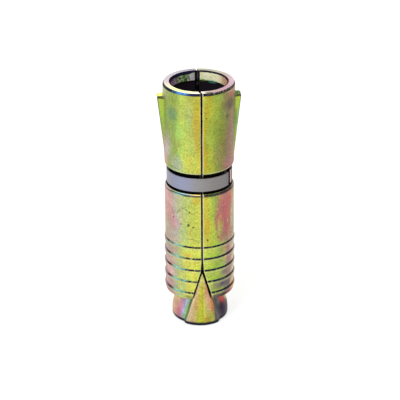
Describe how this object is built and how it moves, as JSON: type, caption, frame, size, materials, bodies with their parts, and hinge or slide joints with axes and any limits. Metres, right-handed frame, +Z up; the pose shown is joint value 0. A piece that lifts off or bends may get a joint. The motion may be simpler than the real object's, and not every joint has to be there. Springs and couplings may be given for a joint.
{
  "type": "expansion anchor",
  "caption": "Heavy-duty expansion anchor: cast split sleeve with ears and barb steps, held by a spring band, with a conical wedge nut at its lower end.",
  "frame": {"origin": "middle of the nut's base, on the bolt axis", "axes": "+Z up the bolt axis from the nut to the mouth, +X through the right half's ear, -Y to the front seam"},
  "size_m": [0.024, 0.0206, 0.0737],
  "materials": {
    "sleeve": "yellow chromated zinc, iridescent, fine cast grain",
    "band": "plain strip steel, brushed along its length",
    "nut": "yellow chromated zinc, iridescent, with darker purple tints"
  },
  "bodies": {
    "band": {"retaining_band": "band"},
    "nut": {"cone_nut": "nut"},
    "left_half": {"left_half_shell": "sleeve"},
    "right_half": {"right_half_shell": "sleeve"}
  },
  "joints": [
    {"name": "nut_draw", "type": "slide", "parent": "band", "child": "nut", "axis": [0, 0, 1], "range_m": [0, 0.0036]},
    {"name": "left_spread", "type": "hinge", "parent": "band", "child": "left_half", "pos_m": [0, 0, 0.063], "axis": [0, 1, 0], "range_deg": [0, 1.05]},
    {"name": "right_spread", "type": "hinge", "parent": "band", "child": "right_half", "pos_m": [0, 0, 0.063], "axis": [0, -1, 0], "range_deg": [0, 1.05]}
  ],
  "couplings": [
    {"joint": "left_spread", "follows": "nut_draw", "rad_per_m": 5.09},
    {"joint": "right_spread", "follows": "nut_draw", "rad_per_m": 5.09}
  ]
}
